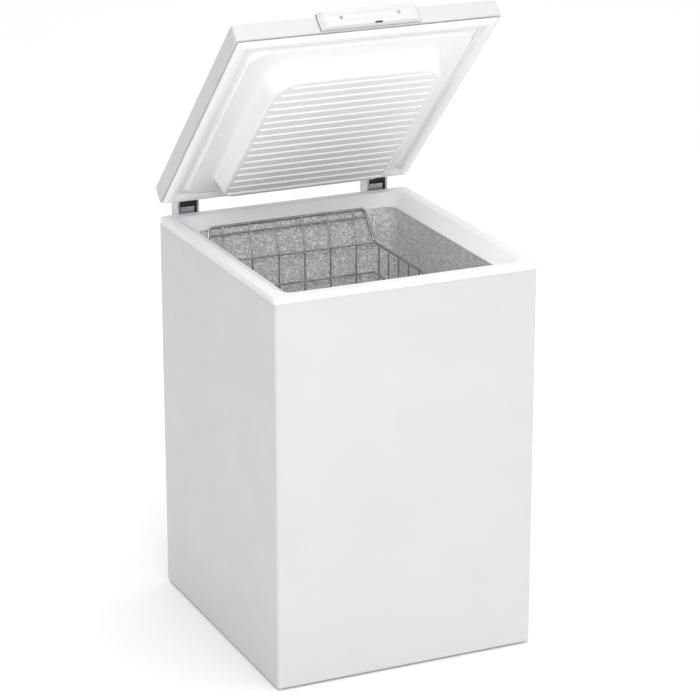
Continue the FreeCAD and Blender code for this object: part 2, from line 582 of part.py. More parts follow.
def hinge(name, hx):
    top, rear = PIN_Z + CH_TOP_UP, BACK + CH_REAR
    w, t = CH_W / 2, CH_T
    shell = box(hx - w, hx + w, BACK + 0.1, rear, CH_LOW, top)
    shell = shell.cut(box(hx - w + t, hx + w - t, BACK - 5, rear - t, CH_LOW - 5, top + 5))
    lip = t + 3.0
    lips = [box(x, x + lip, CB + 1.5, CB + 3.0, WRAP_TOP, top) for x in (hx - w, hx + w - lip)]
    notch = box(hx - 60, hx + 60, BACK - 5, CB + 1.5, WRAP_TOP - 2, top + 5)
    seat = box(hx - w + t, hx + w - t, BACK + 6, rear - t, SEAT_Z - 3, SEAT_Z)
    ears = [box(hx + s * (w + 6.5) - 7.5, hx + s * (w + 6.5) + 7.5, BACK + 0.1, BACK + 0.1 + t,
                CH_LOW, WRAP_TOP - 4) for s in (-1, 1)]
    body = fuse([shell.cut(notch), seat] + lips + ears)
    body = body.cut(cyl(PIN_R + 0.02, hx - 40, PIN_Y, PIN_Z, 80, V(1, 0, 0)))
    body = body.cut(cyl(6.0, hx, PIN_Y, SEAT_Z - 10, 20))
    for x, z in hinge_screw_places():
        body = body.cut(cyl(2.2, x, BACK - 5, z, 12, V(0, 1, 0)))
    save("hinge_channel_" + name, body)

    plate = box(hx - 18.5, hx + 18.5, LB + 0.1, LB + 2.1, LID_Z + 4, LID_TOP - 4)
    cheeks = []
    for s in (-1, 1):
        x0 = hx + (16.0 if s > 0 else -18.5)
        web = polygon([V(x0, LB + 1, LID_Z + 4), V(x0, LB + 1, PIN_Z + 12), V(x0, PIN_Y, PIN_Z + 8),
                       V(x0, PIN_Y, PIN_Z - 8)]).extrude(V(2.5, 0, 0))
        cheeks.append(web.fuse(cyl(8, x0, PIN_Y, PIN_Z, 2.5, V(1, 0, 0))))
    leaf = fuse([plate] + cheeks).cut(cyl(PIN_R + RUN, hx - 40, PIN_Y, PIN_Z, 80, V(1, 0, 0)))
    for x, z in lid_screw_places():
        leaf = leaf.cut(cyl(2.2, x, LB - 5, z, 12, V(0, 1, 0)))
    save_lid("hinge_leaf_" + name, leaf)

    head = box(hx - 15.4, hx + 15.4, PIN_Y - 13, PIN_Y + 13, PLUNGER_LOW, PLUNGER_TOP)
    save("hinge_plunger_" + name, head.fuse(cyl(5, hx, PIN_Y, SEAT_Z + 8, PLUNGER_LOW - SEAT_Z - 8)))

    wire, turns = 1.1, 9
    height = PLUNGER_LOW - SEAT_Z - 2 * wire - 0.6
    helix = Part.makeHelix(height / turns, height, 8.6)
    ring = Part.Wire(Part.makeCircle(wire, V(8.6, 0, 0), V(0, 1, 0)))
    spring = Part.Wire(helix).makePipeShell([ring], True, True)
    spring.translate(V(hx, PIN_Y, SEAT_Z + wire + 0.3))
    save("hinge_spring_" + name, spring)


def hinges():
    pins, cams = [], []
    phase = math.radians(180 + CAM_PHASE)
    along = V(1, 0, 0)
    for name, hx in (("left", -HINGE_X), ("right", HINGE_X)):
        hinge(name, hx)
        w = CH_W / 2
        heads = [cyl(5, hx + x, PIN_Y, PIN_Z, 2, along) for x in (-w - 2, w)]
        pins.append(fuse([cyl(PIN_R, hx - w - 1.5, PIN_Y, PIN_Z, CH_W + 3, along)] + heads))
        cam = cyl(CAM_R, hx - 15.9, PIN_Y + CAM_E * math.cos(phase), PIN_Z + CAM_E * math.sin(phase),
                  31.8, along)
        cams.append(cam.cut(cyl(PIN_R + RUN, hx - 40, PIN_Y, PIN_Z, 80, along)))
    save("hinge_pins", Part.makeCompound(pins))
    save_lid("hinge_cams", Part.makeCompound(cams))
    back = V(0, 1, 0)
    screws = [screw(x, BACK + 0.2 + CH_T, z, back, 8) for x, z in hinge_screw_places()]
    save("hinge_cabinet_screws", Part.makeCompound(screws))
    screws = [screw(x, LB + 2.2, z, back, 8, head_h=1.6) for x, z in lid_screw_places()]
    save_lid("hinge_lid_screws", Part.makeCompound(screws))


# ---------------------------------------------------------------- lid
def skin_block(inset, z0, z1, edge):
    block = prism(-LX + inset, LX - inset, LF + inset, LB - inset, z0, z1, LID_R - inset)
    return block.makeFillet(edge, [e for e in block.Edges if e.BoundBox.ZMin > z1 - 0.01])


def lid_skin():
    outer = skin_block(0, LID_Z, LID_TOP, 3.2)
    inner = skin_block(SHEET, LID_Z + SHEET, LID_TOP - SHEET, 2.4)
    mouth = prism(-LX + 12, LX - 12, LF + 12, LB - 12, LID_Z - 1, LID_Z + 2, 6)
    skin = outer.cut(inner).cut(mouth)
    for x in handle_screw_x():
        skin = skin.cut(cyl(2.2, x, LF - 3, HANDLE_Z, 8, V(0, 1, 0)))
    for x, z in lid_screw_places():
        skin = skin.cut(cyl(2.2, x, LB - 5, z, 8, V(0, 1, 0)))
    save_lid("lid_skin", skin)


def liner_steps(t):
    """The two raised steps of the lid's inner liner as solids, shrunk inwards by t."""
    a = STEP1_IN + t
    z1 = LID_Z - STEP1_H + t
    first = loft(round_wire(-LX + a + 3, LX - a - 3, LF + a + 3, LB - a - 3, z1, 44, 22),
                 round_wire(-LX + a, LX - a, LF + a, LB - a, LID_Z - 0.1, 40, 18))
    z2 = LID_Z - STEP2_H + t
    s, f, b = STEP2_SIDE + t, STEP2_FRONT + t, STEP2_BACK + t
    second = loft(round_wire(-LX + s + 12, LX - s - 12, LF + f + 14, LB - b - 4, z2, TOP_R, 28),
                  round_wire(-LX + s, LX - s, LF + f, LB - b, z1 + 0.5, TOP_R - 2, 32))
    return [first, second]


def lid_liner():
    """Thermoformed inner liner: flat rim, first step, deep second step with ribs across it."""
    rim = prism(-LX + 3, LX - 3, LF + 3, LB - 3, LID_Z - 2.1, LID_Z - 0.1, 8)
    liner = fuse([rim] + liner_steps(0))
    for inner in liner_steps(LINER_SKIN):
        liner = liner.cut(inner)
    z2 = LID_Z - STEP2_H
    edge = LX - STEP2_SIDE - 12
    corner_y = LF + STEP2_FRONT + 14 + TOP_R
    y0, y1 = LF + STEP2_FRONT + 30, LB - STEP2_BACK - 18
    ribs = []
    for i in range(RIB_COUNT):
        y = y0 + i * (y1 - y0) / (RIB_COUNT - 1)
        into = max(0.0, corner_y - y)
        x = edge - 10 - TOP_R + math.sqrt(TOP_R ** 2 - into ** 2)
        face = polygon([V(-x, y - 4, z2 + 0.5), V(-x, y + 4, z2 + 0.5),
                        V(-x, y + 2, z2 - RIB_H), V(-x, y - 2, z2 - RIB_H)])
        ribs.append(face.extrude(V(2 * x, 0, 0)))
    save_lid("lid_liner", fuse([liner] + ribs))


def lid_foam():
    core = skin_block(SHEET + 0.1, LID_Z + SHEET + 0.1, LID_TOP - SHEET - 0.1, 4)
    neck = prism(-LX + 13, LX - 13, LF + 13, LB - 13, LID_Z - 0.1, LID_Z + 3, 6)
    foam = fuse([core, neck] + liner_steps(LINER_SKIN + 0.1))
    for x in handle_screw_x():
        foam = foam.cut(cyl(2.6, x, LF, HANDLE_Z, 14, V(0, 1, 0)))
    for x, z in lid_screw_places():
        foam = foam.cut(cyl(2.6, x, LB - 10, z, 12, V(0, 1, 0)))
    save_lid("lid_foam", foam)


def lid_gasket():
    """Magnetic gasket: a flat base and a soft bellows with a groove between its two beads."""
    z0, z1 = RIM_TOP + GASKET_GAP, LID_Z - 2.2
    ring = prism(-LX + 4, LX - 4, LF + 4, LB - 4, z0, z1, 8)
    ring = ring.cut(prism(-LX + 32, LX - 32, LF + 32, LB - 32, z0 - 1, z1 + 1, 6))
    groove = prism(-LX + 14, LX - 14, LF + 14, LB - 14, z0 - 1, z0 + 3, 6)
    groove = groove.cut(prism(-LX + 19, LX - 19, LF + 19, LB - 19, z0 - 2, z0 + 4, 6))
    save_lid("lid_gasket", ring.cut(groove))


HANDLE_L = 214.0
HANDLE_OUT = 16.5
HANDLE_LOW = LID_Z + 0.5
HANDLE_HIGH = LID_TOP + 3.5
HANDLE_Z = LID_Z + 22.0


def handle_screw_x():
    return (-61.0, 61.0)


def lid_handle():
    """Moulded grip on the front of the lid: hollow front, slanted ends, lip to pull on below."""
    y1, y0 = LF - 0.1, LF - HANDLE_OUT
    z0, z1 = HANDLE_LOW, HANDLE_HIGH
    side = polygon([V(0, y1, z0 + 2), V(0, y0 + 6, z0), V(0, y0, z0 + 3), V(0, y0, z0 + 9),
                    V(0, y0 + 4.5, z0 + 15), V(0, y0 + 4.5, z1 - 11), V(0, y0 + 1, z1 - 5),
                    V(0, y0 + 4, z1), V(0, y1, z1)])
    bar = side.extrude(V(HANDLE_L, 0, 0))
    bar.translate(V(-HANDLE_L / 2, 0, 0))
    for s in (-1, 1):
        x = s * HANDLE_L / 2
        wedge = polygon([V(x + s, y1 + 1, z0 - 5), V(x + s, y0 - 1, z0 - 5), V(x - s * 12, y0 - 1, z0 - 5)])
        bar = bar.cut(wedge.extrude(V(0, 0, 60)))
    for x in handle_screw_x():
        bar = bar.cut(cyl(2.2, x, y0 - 2, HANDLE_Z, 30, V(0, 1, 0)))
        bar = bar.cut(cyl(4.3, x, y0 - 2, HANDLE_Z, 9, V(0, 1, 0)))
    slot = box(4, 20, y0 - 2, y0 + 2.5, z0 - 1, z0 + 4)
    save_lid("lid_handle", bar.cut(slot))
    solids = [screw(x, y0 + 6.9, HANDLE_Z, V(0, -1, 0), 18, head_h=1.8) for x in handle_screw_x()]
    save_lid("handle_screws", Part.makeCompound(solids))


# ---------------------------------------------------------------- basket
def spread(a, b, pitch):
    count = max(1, round((b - a) / pitch))
    return [a + (b - a) * (i + 0.5) / count for i in range(count)]


def basket():
    """Welded wire: end loops that lean out over the collar's edge, side rails, grids and a floor."""
    r, w, cross = RAIL_R, WIRE_R, 2.0
    x0, x1, y0, y1 = BK_X0, BK_X1, BK_Y0, BK_Y1
    rail, top, low = BK_RAIL_Z, BK_TOP_Z, BK_FLOOR_Z
    t0, t1, f, b = x0 + BK_IN, x1 - BK_IN, y0 - BK_FLARE, y1 + BK_FLARE
    loop = [(x1, y0, rail), (t1, f, top), (t0, f, top), (x0, y0, rail),
            (x0, y1, rail), (t0, b, top), (t1, b, top), (x1, y1, rail)]
    save("basket_frame", tube(loop, r, 11.0, closed=True))
    ring = tube([(x0, y0, low), (x1, y0, low), (x1, y1, low), (x0, y1, low)], cross, 12, closed=True)
    bars = [cyl(w, x, y0 + 1.0, low - cross - w + 0.4, y1 - y0 - 2.0, V(0, 1, 0)) for x in spread(x0, x1, 48)]
    bars += [cyl(w, x0 + 1.0, y, low - cross - 3 * w + 0.8, x1 - x0 - 2.0, V(1, 0, 0))
             for y in spread(y0, y1, 80)]
    save("basket_floor_grid", fuse([ring] + bars))
    ends = []
    for y, out, way in ((y0, f, -1), (y1, b, 1)):
        wires = [tube([(x, y, low + 1.9), (x, y, rail), (x, out - way * (r + w - 0.4), top)], w, 20)
                 for x in spread(t0, t1, 57)]
        inner = y - way * (w + cross - 0.3)
        for z in (rail, (rail + low) / 2):
            wires.append(cyl(cross, x0 + r, inner, z, x1 - x0 - 2 * r, V(1, 0, 0)))
        share = 1 - SECOND_DOWN / (top - rail)
        wires.append(cyl(cross, t0 + 2.0, y + (out - y) * share - way * (r + 2.2), top - SECOND_DOWN,
                         t1 - t0 - 4.0, V(1, 0, 0)))
        ends.append(fuse(wires))
    save("basket_end_grids", Part.makeCompound(ends))
    sides = []
    for x, way in ((x0, -1), (x1, 1)):
        wires = [cyl(w, x, y, low + 1.9, rail - r - low - 1.8) for y in spread(y0, y1, 48)]
        wires.append(cyl(cross, x - way * (w + cross - 0.3), y0 + r + 2, (rail + low) / 2,
                         y1 - y0 - 2 * r - 4, V(0, 1, 0)))
        sides.append(fuse(wires))
    save("basket_side_grids", Part.makeCompound(sides))


outer_wrap()
back_panel()
base_tray()
feet()
collar_frame()
inner_liner()
foam_body()
evaporator_coil()
condenser_coil()
bay_housing()
compressor_rail()
grommets()
compressor_bolts()
compressor()
pipework()
control_panel()
controls()
side_grille()
rear_cover()
cover_screw_set()
cord_gland()
drain()
hinges()
lid_skin()
lid_liner()
lid_foam()
lid_gasket()
lid_handle()
basket()
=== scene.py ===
"""Chest freezer with its lid open: the looks of the object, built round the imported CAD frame.

Lengths are in millimetres until a mesh is made from them. The studio and the camera are in metres.
"""

import json
import math

import bpy
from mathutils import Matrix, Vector


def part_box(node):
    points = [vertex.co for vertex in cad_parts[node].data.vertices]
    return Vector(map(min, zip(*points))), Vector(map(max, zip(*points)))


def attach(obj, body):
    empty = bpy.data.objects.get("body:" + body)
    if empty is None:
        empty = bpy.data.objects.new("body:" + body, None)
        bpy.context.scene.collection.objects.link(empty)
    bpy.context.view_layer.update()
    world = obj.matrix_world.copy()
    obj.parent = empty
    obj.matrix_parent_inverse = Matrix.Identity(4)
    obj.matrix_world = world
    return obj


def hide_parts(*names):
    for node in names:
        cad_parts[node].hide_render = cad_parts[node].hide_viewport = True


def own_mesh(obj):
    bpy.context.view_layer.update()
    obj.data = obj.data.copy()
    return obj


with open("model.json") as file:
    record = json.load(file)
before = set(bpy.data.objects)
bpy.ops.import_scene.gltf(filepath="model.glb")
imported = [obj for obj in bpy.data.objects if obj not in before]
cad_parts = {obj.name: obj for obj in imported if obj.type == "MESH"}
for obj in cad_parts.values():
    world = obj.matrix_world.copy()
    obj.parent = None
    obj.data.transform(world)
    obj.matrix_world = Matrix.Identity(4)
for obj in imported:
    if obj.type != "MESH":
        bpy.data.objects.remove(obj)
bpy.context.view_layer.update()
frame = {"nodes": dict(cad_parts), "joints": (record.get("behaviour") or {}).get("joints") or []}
NODES = frame["nodes"]
MM = 0.001


def node_box(name):
    """Lowest and highest corner of a CAD node, in millimetres."""
    lo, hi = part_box(name)
    return lo / MM, hi / MM


# ---------------------------------------------------------------- sizes read from the frame
COLLAR_LO, COLLAR_HI = node_box("collar_frame")
CX, CF, CB, RIM_TOP = COLLAR_HI.x, COLLAR_LO.y, COLLAR_HI.y, COLLAR_HI.z  # half width, front, back, top
WRAP_TOP = node_box("outer_wrap")[1].z
HINGE = next(j for j in frame["joints"] if j["name"] == "lid_hinge")
PIN_Y, PIN_Z = HINGE["pos_m"][1] / MM, HINGE["pos_m"][2] / MM
LID_ANGLE = math.radians(-HINGE["range_deg"][0])  # from shut to the photo's open lid

# ---------------------------------------------------------------- sizes of the collar and the lid
WALL, WALL_BACK = 59.0, 61.0  # collar's edge to the well: front and sides, back
LEDGE, DROP = 23.0, 20.5  # width of the flat ledge, fall of the slope inside it
OPEN_Z = RIM_TOP - DROP
LID_GAP, LID_T = 10.0, 36.0  # collar to shut lid, thickness of the lid's body
LID_Z = RIM_TOP + LID_GAP
LID_TOP = LID_Z + LID_T
LX, LF, LB = CX, CF, CB - 2.0  # lid's half width, front, back
STEP1_H, STEP2_H = 9.0, 50.0  # how far the two steps of the lid's liner hang below the lid
STEP2_SIDE, STEP2_FRONT, STEP2_BACK = 90.0, 84.0, 78.0  # lid's edge to the foot of the second step


def lid_point(x, y, z):
    """A point of the shut lid, where the open lid has it."""
    c, s = math.cos(LID_ANGLE), math.sin(LID_ANGLE)
    dy, dz = y - PIN_Y, z - PIN_Z
    return (x, PIN_Y + dy * c + dz * s, PIN_Z - dy * s + dz * c)


# ---------------------------------------------------------------- mesh helpers
def mesh_mm(name, verts, faces):
    """A mesh from points in millimetres."""
    mesh = bpy.data.meshes.new(name)
    mesh.from_pydata([Vector(v) * MM for v in verts], [], faces)
    return mesh


def add_object(name, data):
    """A new object in the scene."""
    obj = bpy.data.objects.new(name, data)
    bpy.context.scene.collection.objects.link(obj)
    return obj


def mesh_piece(name, verts, faces, body, material, replaces=(), smooth=True):
    """A named piece of the object. It rides on a body and takes the place of the CAD nodes it replaces."""
    mesh = mesh_mm(name, verts, faces)
    mesh.validate()
    obj = add_object(name, mesh)
    for p in mesh.polygons:
        p.use_smooth = smooth
    mesh.materials.append(material)
    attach(obj, body)
    if replaces:
        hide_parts(*replaces)
    return obj


def weighted(obj):
    """Let the large faces set the shading at soft edges."""
    mod = obj.modifiers.new("normals", "WEIGHTED_NORMAL")
    mod.keep_sharp = True
    mod.weight = 80


def quarter(steps, first=0):
    """Angles from 0 to 90 degrees in equal steps, in radians."""
    return [math.radians(90.0 * i / steps) for i in range(first, steps + 1)]


def ring(inset, z, radii, segments=10, turn=None):
    """Points round a rectangle with round corners.

    inset is how far it lies inside the edge on the left, right, front and back. radii are those of the
    front and the back corners. turn places the points: without it they lie on the collar, with it on the lid.
    """
    left, right, front, back = inset
    x0, x1, y0, y1 = -CX + left, CX - right, CF + front, (CB if turn is None else LB) - back
    rf, rb = radii
    corners = [(x0 + rf, y0 + rf, rf, 180), (x1 - rf, y0 + rf, rf, 270),
               (x1 - rb, y1 - rb, rb, 0), (x0 + rb, y1 - rb, rb, 90)]
    pts = []
    for cx, cy, r, start in corners:
        for i in range(segments + 1):
            a = math.radians(start + 90.0 * i / segments)
            p = (cx + r * math.cos(a), cy + r * math.sin(a), z)
            pts.append(p if turn is None else turn(*p))
    return pts


def skin_rings(rings, closed_loop=False, cap=False):
    """Points and faces of a skin over rings that have the same number of points."""
    n = len(rings[0])
    verts = [p for r in rings for p in r]
    faces = []
    rows = len(rings) if closed_loop else len(rings) - 1
    for k in range(rows):
        a, b = k * n, ((k + 1) % len(rings)) * n
        for i in range(n):
            j = (i + 1) % n
            faces.append((a + i, a + j, b + j, b + i))
    if cap:
        faces.append(tuple((len(rings) - 1) * n + i for i in range(n)))
    return verts, faces


# ---------------------------------------------------------------- shader helpers
def new_material(name):
    """A material, its node tree and its shader."""
    m = bpy.data.materials.new(name)
    m.use_nodes = True
    tree = m.node_tree
    return m, tree, tree.nodes["Principled BSDF"]


def add(tree, kind, **values):
    """A new shader node. Each value goes to the input of that name, or else to the setting."""
    node = tree.nodes.new(kind)
    for key, value in values.items():
        if key in node.inputs:
            node.inputs[key].default_value = value
        else:
            setattr(node, key, value)
    return node


def link(tree, a, out, b, into):
    """Join an output of node a to an input of node b."""
    tree.links.new(a.outputs[out], b.inputs[into])


def coords(tree, scale=(1, 1, 1)):
    """Object coordinates, scaled."""
    tex = add(tree, "ShaderNodeTexCoord")
    mapping = add(tree, "ShaderNodeMapping")
    mapping.inputs["Scale"].default_value = scale
    link(tree, tex, "Object", mapping, "Vector")
    return mapping


def noise(tree, at, scale, detail=3.0, rough=0.5, distortion=0.0):
    """Noise in the coordinates at."""
    node = add(tree, "ShaderNodeTexNoise", Scale=scale, Detail=detail, Roughness=rough, Distortion=distortion)
    link(tree, at, "Vector", node, "Vector")
    return node


def voronoi(tree, at, scale):
    """Cells in the coordinates at."""
    node = add(tree, "ShaderNodeTexVoronoi", Scale=scale)
    link(tree, at, "Vector", node, "Vector")
    return node


def ramp(tree, source, out, stops):
    """Colours by the source's value."""
    node = add(tree, "ShaderNodeValToRGB")
    elements = node.color_ramp.elements
    while len(elements) < len(stops):
        elements.new(0.5)
    for e, (pos, col) in zip(elements, stops):
        e.position = pos
        e.color = (*col, 1.0)
    link(tree, source, out, node, "Fac")
    return node


def spread_value(tree, source, out, low, high, from_low=0.3, from_high=0.7):
    """The source's value, mapped from one range to another."""
    node = add(tree, "ShaderNodeMapRange")
    node.inputs["From Min"].default_value = from_low
    node.inputs["From Max"].default_value = from_high
    node.inputs["To Min"].default_value = low
    node.inputs["To Max"].default_value = high
    link(tree, source, out, node, "Value")
    return node


def bump(tree, shader, source, out, strength, distance, before=None):
    """Relief from the source's value, on top of the bump before it."""
    node = add(tree, "ShaderNodeBump", Strength=strength, Distance=distance)
    link(tree, source, out, node, "Height")
    if before is not None:
        link(tree, before, "Normal", node, "Normal")
    link(tree, node, "Normal", shader, "Normal")
    return node


# ---------------------------------------------------------------- kinds of material
def coated(name, dark, light, rough, grain, peel, coat=0.0):
    """Paint or moulded plastic: slow colour drift, fine grain, uneven gloss.

    rough is the range of the roughness. peel is the strength and the depth of the grain's relief.
    """
    m, tree, shader = new_material(name)
    at = coords(tree)
    drift = noise(tree, at, 7.0, 4.0, 0.55)
    col = ramp(tree, drift, "Fac", [(0.3, dark), (0.7, light)])
    link(tree, col, "Color", shader, "Base Color")
    gloss = noise(tree, at, 38.0, 5.0, 0.6)
    link(tree, spread_value(tree, gloss, "Fac", *rough), "Result", shader, "Roughness")
    fine = noise(tree, at, grain, 3.0, 0.6)
    first = bump(tree, shader, fine, "Fac", peel[0], peel[1])
    wave = noise(tree, at, grain * 0.22, 2.0, 0.5)
    bump(tree, shader, wave, "Fac", peel[0] * 0.8, peel[1] * 2.5, first)
    shader.inputs["Coat Weight"].default_value = coat
    shader.inputs["Coat Roughness"].default_value = 0.2
    return m


def galvanised(name):
    """Zinc-coated sheet with its crystal pattern."""
    m, tree, shader = new_material(name)
    at = coords(tree)
    cells = voronoi(tree, at, 95.0)
    split = add(tree, "ShaderNodeSeparateColor")
    link(tree, cells, "Color", split, "Color")
    col = ramp(tree, split, "Red", [(0.0, (0.47, 0.49, 0.51)), (1.0, (0.66, 0.67, 0.69))])
    link(tree, col, "Color", shader, "Base Color")
    link(tree, spread_value(tree, split, "Green", 0.28, 0.48, 0.0, 1.0), "Result", shader, "Roughness")
    scratches = noise(tree, coords(tree, (1.0, 1.0, 0.08)), 700.0, 2.0)
    bump(tree, shader, scratches, "Fac", 0.12, 0.0002)
    shader.inputs["Metallic"].default_value = 0.9
    return m


def metal(name, low, high, rough, grain=420.0, metallic=1.0, stretch=(1, 1, 0.1), depth=0.1):
    """Drawn, rolled or cast metal. An uneven stretch draws its grain out into lines along one way."""
    m, tree, shader = new_material(name)
    lines = noise(tree, coords(tree, stretch), grain, 4.0, 0.6)
    blotch = noise(tree, coords(tree), 30.0, 4.0, 0.6)
    col = ramp(tree, blotch, "Fac", [(0.3, low), (0.72, high)])
    link(tree, col, "Color", shader, "Base Color")
    link(tree, spread_value(tree, lines, "Fac", *rough), "Result", shader, "Roughness")
    bump(tree, shader, lines, "Fac", depth, 0.00015)
    shader.inputs["Metallic"].default_value = metallic
    return m


def stucco(name):
    """Aluminium sheet with an irregular maze of embossed ridges a few millimetres apart. The hollows between
    the ridges are painted darker as painted shade.
    """
    m, tree, shader = new_material(name)
    at = coords(tree)
    maze = noise(tree, at, 150.0, 1.4, 0.45, 0.9)
    ridge = add(tree, "ShaderNodeMath", operation="SUBTRACT")
    link(tree, maze, "Fac", ridge, 0)
    ridge.inputs[1].default_value = 0.5
    size = add(tree, "ShaderNodeMath", operation="ABSOLUTE")
    link(tree, ridge, "Value", size, 0)
    height = spread_value(tree, size, "Value", 1.0, 0.0, 0.0, 0.17)
    height.interpolation_type = "SMOOTHSTEP"
    # Painted shade: the colour is white on the ridges and darker grey in the hollows between them.
    col = ramp(tree, height, "Result", [(0.0, (0.68, 0.68, 0.70)), (1.0, (1.0, 1.0, 1.0))])
    link(tree, col, "Color", shader, "Base Color")
    gloss = noise(tree, at, 24.0, 4.0)
    link(tree, spread_value(tree, gloss, "Fac", 0.34, 0.46), "Result", shader, "Roughness")
    fine = noise(tree, at, 900.0, 2.0)
    first = bump(tree, shader, fine, "Fac", 0.08, 0.0002)
    bump(tree, shader, height, "Result", 0.95, 0.002, first)
    shader.inputs["Metallic"].default_value = 0.1
    return m


def cellular(name):
    """Cut rigid foam."""
    m, tree, shader = new_material(name)
    at = coords(tree)
    cells = voronoi(tree, at, 650.0)
    drift = noise(tree, at, 14.0, 5.0)
    col = ramp(tree, drift, "Fac", [(0.3, (0.70, 0.60, 0.34)), (0.7, (0.82, 0.74, 0.50))])
    link(tree, col, "Color", shader, "Base Color")
    link(tree, spread_value(tree, cells, "Distance", 0.8, 0.98, 0.0, 1.0), "Result", shader, "Roughness")
    bump(tree, shader, cells, "Distance", 0.6, 0.0008)
    return m


def lamp_lens(name, low, high):
    """Small tinted lens with a fine prismatic grain."""
    m, tree, shader = new_material(name)
    at = coords(tree)
    col = ramp(tree, noise(tree, at, 180.0, 3.0), "Fac", [(0.3, low), (0.7, high)])
    link(tree, col, "Color", shader, "Base Color")
    cells = voronoi(tree, at, 1400.0)
    link(tree, spread_value(tree, cells, "Distance", 0.1, 0.25, 0.0, 1.0), "Result", shader, "Roughness")
    bump(tree, shader, cells, "Distance", 0.25, 0.0004)
    shader.inputs["Coat Weight"].default_value = 0.5
    return m


# ---------------------------------------------------------------- materials
PAINT = coated("white_enamel", (0.625, 0.635, 0.63), (0.65, 0.655, 0.65), (0.30, 0.40),
               520.0, (0.05, 0.0002))
COLLAR = coated("collar_plastic", (0.81, 0.81, 0.805), (0.84, 0.84, 0.835), (0.34, 0.46),
                900.0, (0.07, 0.0002))
LINING = coated("lid_lining", (0.865, 0.87, 0.865), (0.895, 0.895, 0.89), (0.28, 0.40),
                300.0, (0.05, 0.0003))
HANDLE = coated("handle_plastic", (0.70, 0.69, 0.675), (0.73, 0.72, 0.71), (0.30, 0.42),
                1100.0, (0.10, 0.0002))
SEAL = coated("soft_seal", (0.85, 0.855, 0.85), (0.88, 0.885, 0.88), (0.42, 0.58),
              1300.0, (0.16, 0.0003))
# Black plastic of the real parts. The block behind the handle's slot takes it too, as painted shade.
DARK = coated("dark_plastic", (0.018, 0.018, 0.020), (0.035, 0.035, 0.038), (0.45, 0.62),
              1200.0, (0.25, 0.0003))
BLACK_RUBBER = coated("black_rubber", (0.012, 0.012, 0.012), (0.03, 0.03, 0.03), (0.65, 0.85),
                      700.0, (0.3, 0.0004))
BLACK_PAINT = coated("black_paint", (0.010, 0.010, 0.011), (0.026, 0.026, 0.028), (0.30, 0.45),
                     420.0, (0.12, 0.0003), coat=0.3)
ZINC = galvanised("galvanised_sheet")
EVEN = (1, 1, 1)
BRIGHT = metal("bright_steel", (0.55, 0.55, 0.56), (0.72, 0.72, 0.73), (0.18, 0.34))
WIRE = metal("zinc_wire", (0.34, 0.35, 0.37), (0.56, 0.57, 0.59), (0.22, 0.38),
             260.0, 0.95, EVEN, 0.12)
COPPER = metal("copper_tube", (0.55, 0.25, 0.14), (0.78, 0.42, 0.27), (0.22, 0.42),
               220.0, 1.0, EVEN, 0.12)
IRON = metal("pump_iron", (0.20, 0.20, 0.21), (0.36, 0.36, 0.37), (0.38, 0.60),
             160.0, 1.0, EVEN, 0.3)
ALUMINIUM = stucco("embossed_aluminium")
FOAM = cellular("insulating_foam")
RED = lamp_lens("red_lens", (0.45, 0.02, 0.015), (0.62, 0.05, 0.03))
GREEN = lamp_lens("green_lens", (0.03, 0.30, 0.07), (0.07, 0.45, 0.12))
AMBER = lamp_lens("amber_lens", (0.70, 0.30, 0.02), (0.88, 0.46, 0.06))

# The CAD nodes that stay. The pieces below replace the others.
NODE_MATERIALS = {
    PAINT: "outer_wrap lid_skin",
    COLLAR: "control_panel thermostat_knob side_grille drain_tube drain_plug drain_outlet_cap",
    DARK: "feet start_relay_box wiring_loom thermostat_body fast_freeze_switch cord_gland hinge_cams",
    BLACK_RUBBER: "compressor_grommets",
    BLACK_PAINT: "compressor_shell condenser_coil",
    ZINC: "back_panel base_tray bay_housing compressor_rail rear_cover hinge_channel_left "
          "hinge_channel_right hinge_leaf_left hinge_leaf_right hinge_plunger_left hinge_plunger_right",
    BRIGHT: "compressor_bolts rear_cover_screws hinge_pins hinge_cabinet_screws hinge_lid_screws",
    WIRE: "handle_screws basket_frame basket_floor_grid basket_side_grids basket_end_grids",
    COPPER: "evaporator_coil capillary_tube suction_line discharge_line liquid_line filter_drier "
            "thermostat_sensor",
    IRON: "compressor_pump_unit",
    ALUMINIUM: "inner_liner",
    FOAM: "foam_body lid_foam",
    RED: "warning_lamp",
    GREEN: "power_lamp",
    AMBER: "fast_freeze_button freezing_lamp",
}
for material, names in NODE_MATERIALS.items():
    for name in names.split():
        obj = NODES[name]
        obj.data.materials.clear()
        obj.data.materials.append(material)


